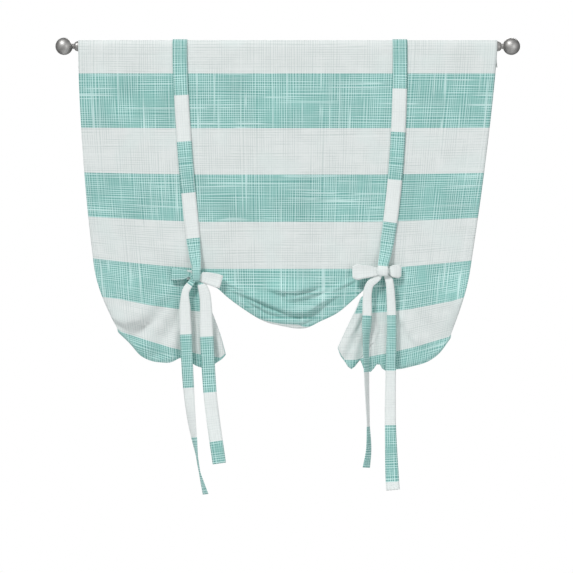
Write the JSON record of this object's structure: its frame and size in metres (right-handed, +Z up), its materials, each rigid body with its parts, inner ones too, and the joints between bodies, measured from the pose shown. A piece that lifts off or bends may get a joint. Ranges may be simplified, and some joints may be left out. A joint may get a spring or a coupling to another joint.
{
  "type": "tie-up curtain",
  "caption": "Striped cloth panel hung on a rod with ball finials by its rod pocket, its lower part gathered up and held by tied bows with long hanging tails.",
  "frame": {"origin": "on the rod's axis at mid-width, where the brackets that hold the rod carry it", "axes": "+X along the rod to the viewer's right, +Y from the room toward the window, +Z up"},
  "size_m": [1.1848, 0.0809, 1.1631],
  "materials": {
    "striped_cloth": "woven linen look, teal and off-white cross stripes",
    "tie_cloth": "woven linen look, teal and off-white cross stripes",
    "brushed_nickel": "brushed",
    "dark_plastic": "moulded"
  },
  "bodies": {
    "root": {"curtain_panel": "striped_cloth", "left_front_tie": "tie_cloth", "left_back_tie": "tie_cloth", "right_front_tie": "tie_cloth", "right_back_tie": "tie_cloth", "rod_tube": "brushed_nickel", "left_end_plug": "dark_plastic", "right_end_plug": "dark_plastic", "left_finial": "brushed_nickel", "right_finial": "brushed_nickel"}
  },
  "joints": []
}
